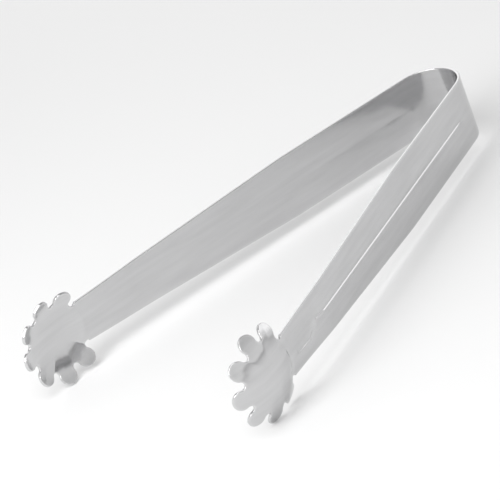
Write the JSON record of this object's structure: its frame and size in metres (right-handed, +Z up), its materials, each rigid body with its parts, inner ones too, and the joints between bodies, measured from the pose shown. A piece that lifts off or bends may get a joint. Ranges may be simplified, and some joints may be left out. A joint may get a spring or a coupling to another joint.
{
  "type": "ice tongs",
  "caption": "Sprung ice tongs bent from one strip of steel: a round bow, creased tapering arms and dished claws with rounded fingers.",
  "frame": {"origin": "centre of the underside of the bounding box: half way along the tongs, on their plane of symmetry, at the height of the lowest claw finger", "axes": "+X along the tongs from the bow to the claws, +Y towards the left arm, +Z up across the width of the strip"},
  "size_m": [0.1735, 0.101, 0.0316],
  "materials": {
    "steel": "polished with a fine grain"
  },
  "bodies": {
    "bow": {"bow_crown": "steel", "bow_flank_left": "steel", "bow_flank_right": "steel"},
    "left_side": {"arm_left": "steel", "claw_left": "steel"},
    "right_side": {"arm_right": "steel", "claw_right": "steel"}
  },
  "joints": [
    {"name": "squeeze_left", "type": "hinge", "parent": "bow", "child": "left_side", "pos_m": [-0.08253, 0.00786, 0.01578], "axis": [0, 0, -1], "range_deg": [0, 15.3], "stiffness_Nm_per_rad": 5, "deforming": ["bow_flank_left"]},
    {"name": "squeeze_right", "type": "hinge", "parent": "bow", "child": "right_side", "pos_m": [-0.08253, -0.00786, 0.01578], "axis": [0, 0, 1], "range_deg": [0, 15.3], "stiffness_Nm_per_rad": 5, "deforming": ["bow_flank_right"]}
  ],
  "couplings": [
    {"joint": "squeeze_right", "follows": "squeeze_left", "ratio": 1}
  ]
}
